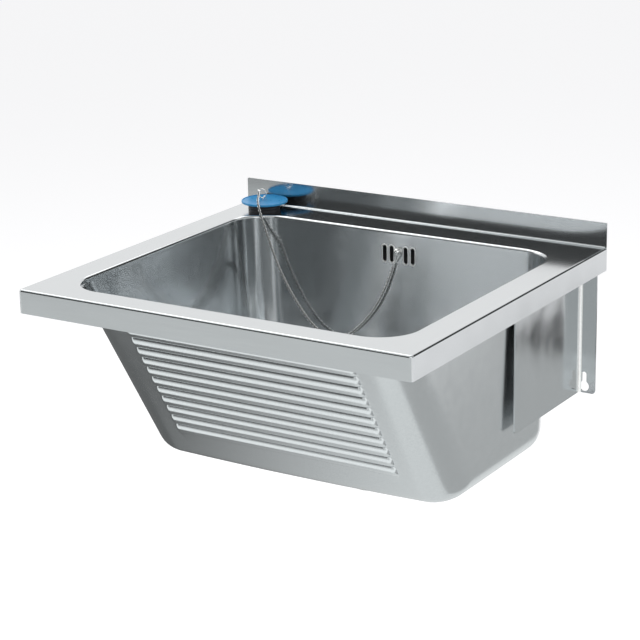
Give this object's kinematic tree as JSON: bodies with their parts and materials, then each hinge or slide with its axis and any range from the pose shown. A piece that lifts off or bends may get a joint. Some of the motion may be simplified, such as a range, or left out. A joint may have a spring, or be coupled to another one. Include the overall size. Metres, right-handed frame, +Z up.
{
  "type": "wall-hung stainless steel sink with washboard front",
  "caption": "Wall-hung stainless steel utility sink: folded deck with a low splash-back, deep bowl with a washboard front, overflow, wall brackets, and a blue plug on a chain.",
  "frame": {"origin": "midway between the round parts of the two wall keyholes, on the wall face", "axes": "+X along the wall to the right, +Y into the wall, +Z up; the bowl is at negative Y"},
  "size_m": [0.6, 0.555, 0.3962],
  "materials": {
    "sink_steel": "satin",
    "fitting_steel": "polished",
    "chain_metal": "polished",
    "white_plastic": "matte",
    "grey_plastic": "matte",
    "blue_plastic": "glossy",
    "black_rubber": "matte"
  },
  "bodies": {
    "sink": {"top_deck": "sink_steel", "bowl": "sink_steel", "bracket_left": "sink_steel", "bracket_right": "sink_steel", "waste_seal": "black_rubber", "waste_cup": "fitting_steel", "waste_screw": "fitting_steel", "waste_gasket": "black_rubber", "waste_body": "white_plastic", "overflow_gasket": "black_rubber", "overflow_housing": "grey_plastic", "overflow_hose": "grey_plastic", "hose_seal_upper": "black_rubber", "hose_seal_lower": "black_rubber", "hose_nut_upper": "white_plastic", "hose_nut_lower": "white_plastic", "stay_screw": "chain_metal", "stay_link": "chain_metal", "chain": "chain_metal", "clasp_stay": "chain_metal"},
    "plug": {"plug_disc": "blue_plastic", "plug_seal": "black_rubber", "plug_eye": "chain_metal", "clasp_plug": "chain_metal"},
    "ring": {"plug_ring": "chain_metal"}
  },
  "joints": [
    {"name": "plug_lift", "type": "slide", "parent": "sink", "child": "plug", "axis": [0, 0, 1], "range_m": [0, 0.04], "deforming": ["chain"]},
    {"name": "ring_swing", "type": "hinge", "parent": "plug", "child": "ring", "pos_m": [-0.2455, -0.038, 0.229], "axis": [0, 1, 0], "range_deg": [-15, 15]}
  ]
}
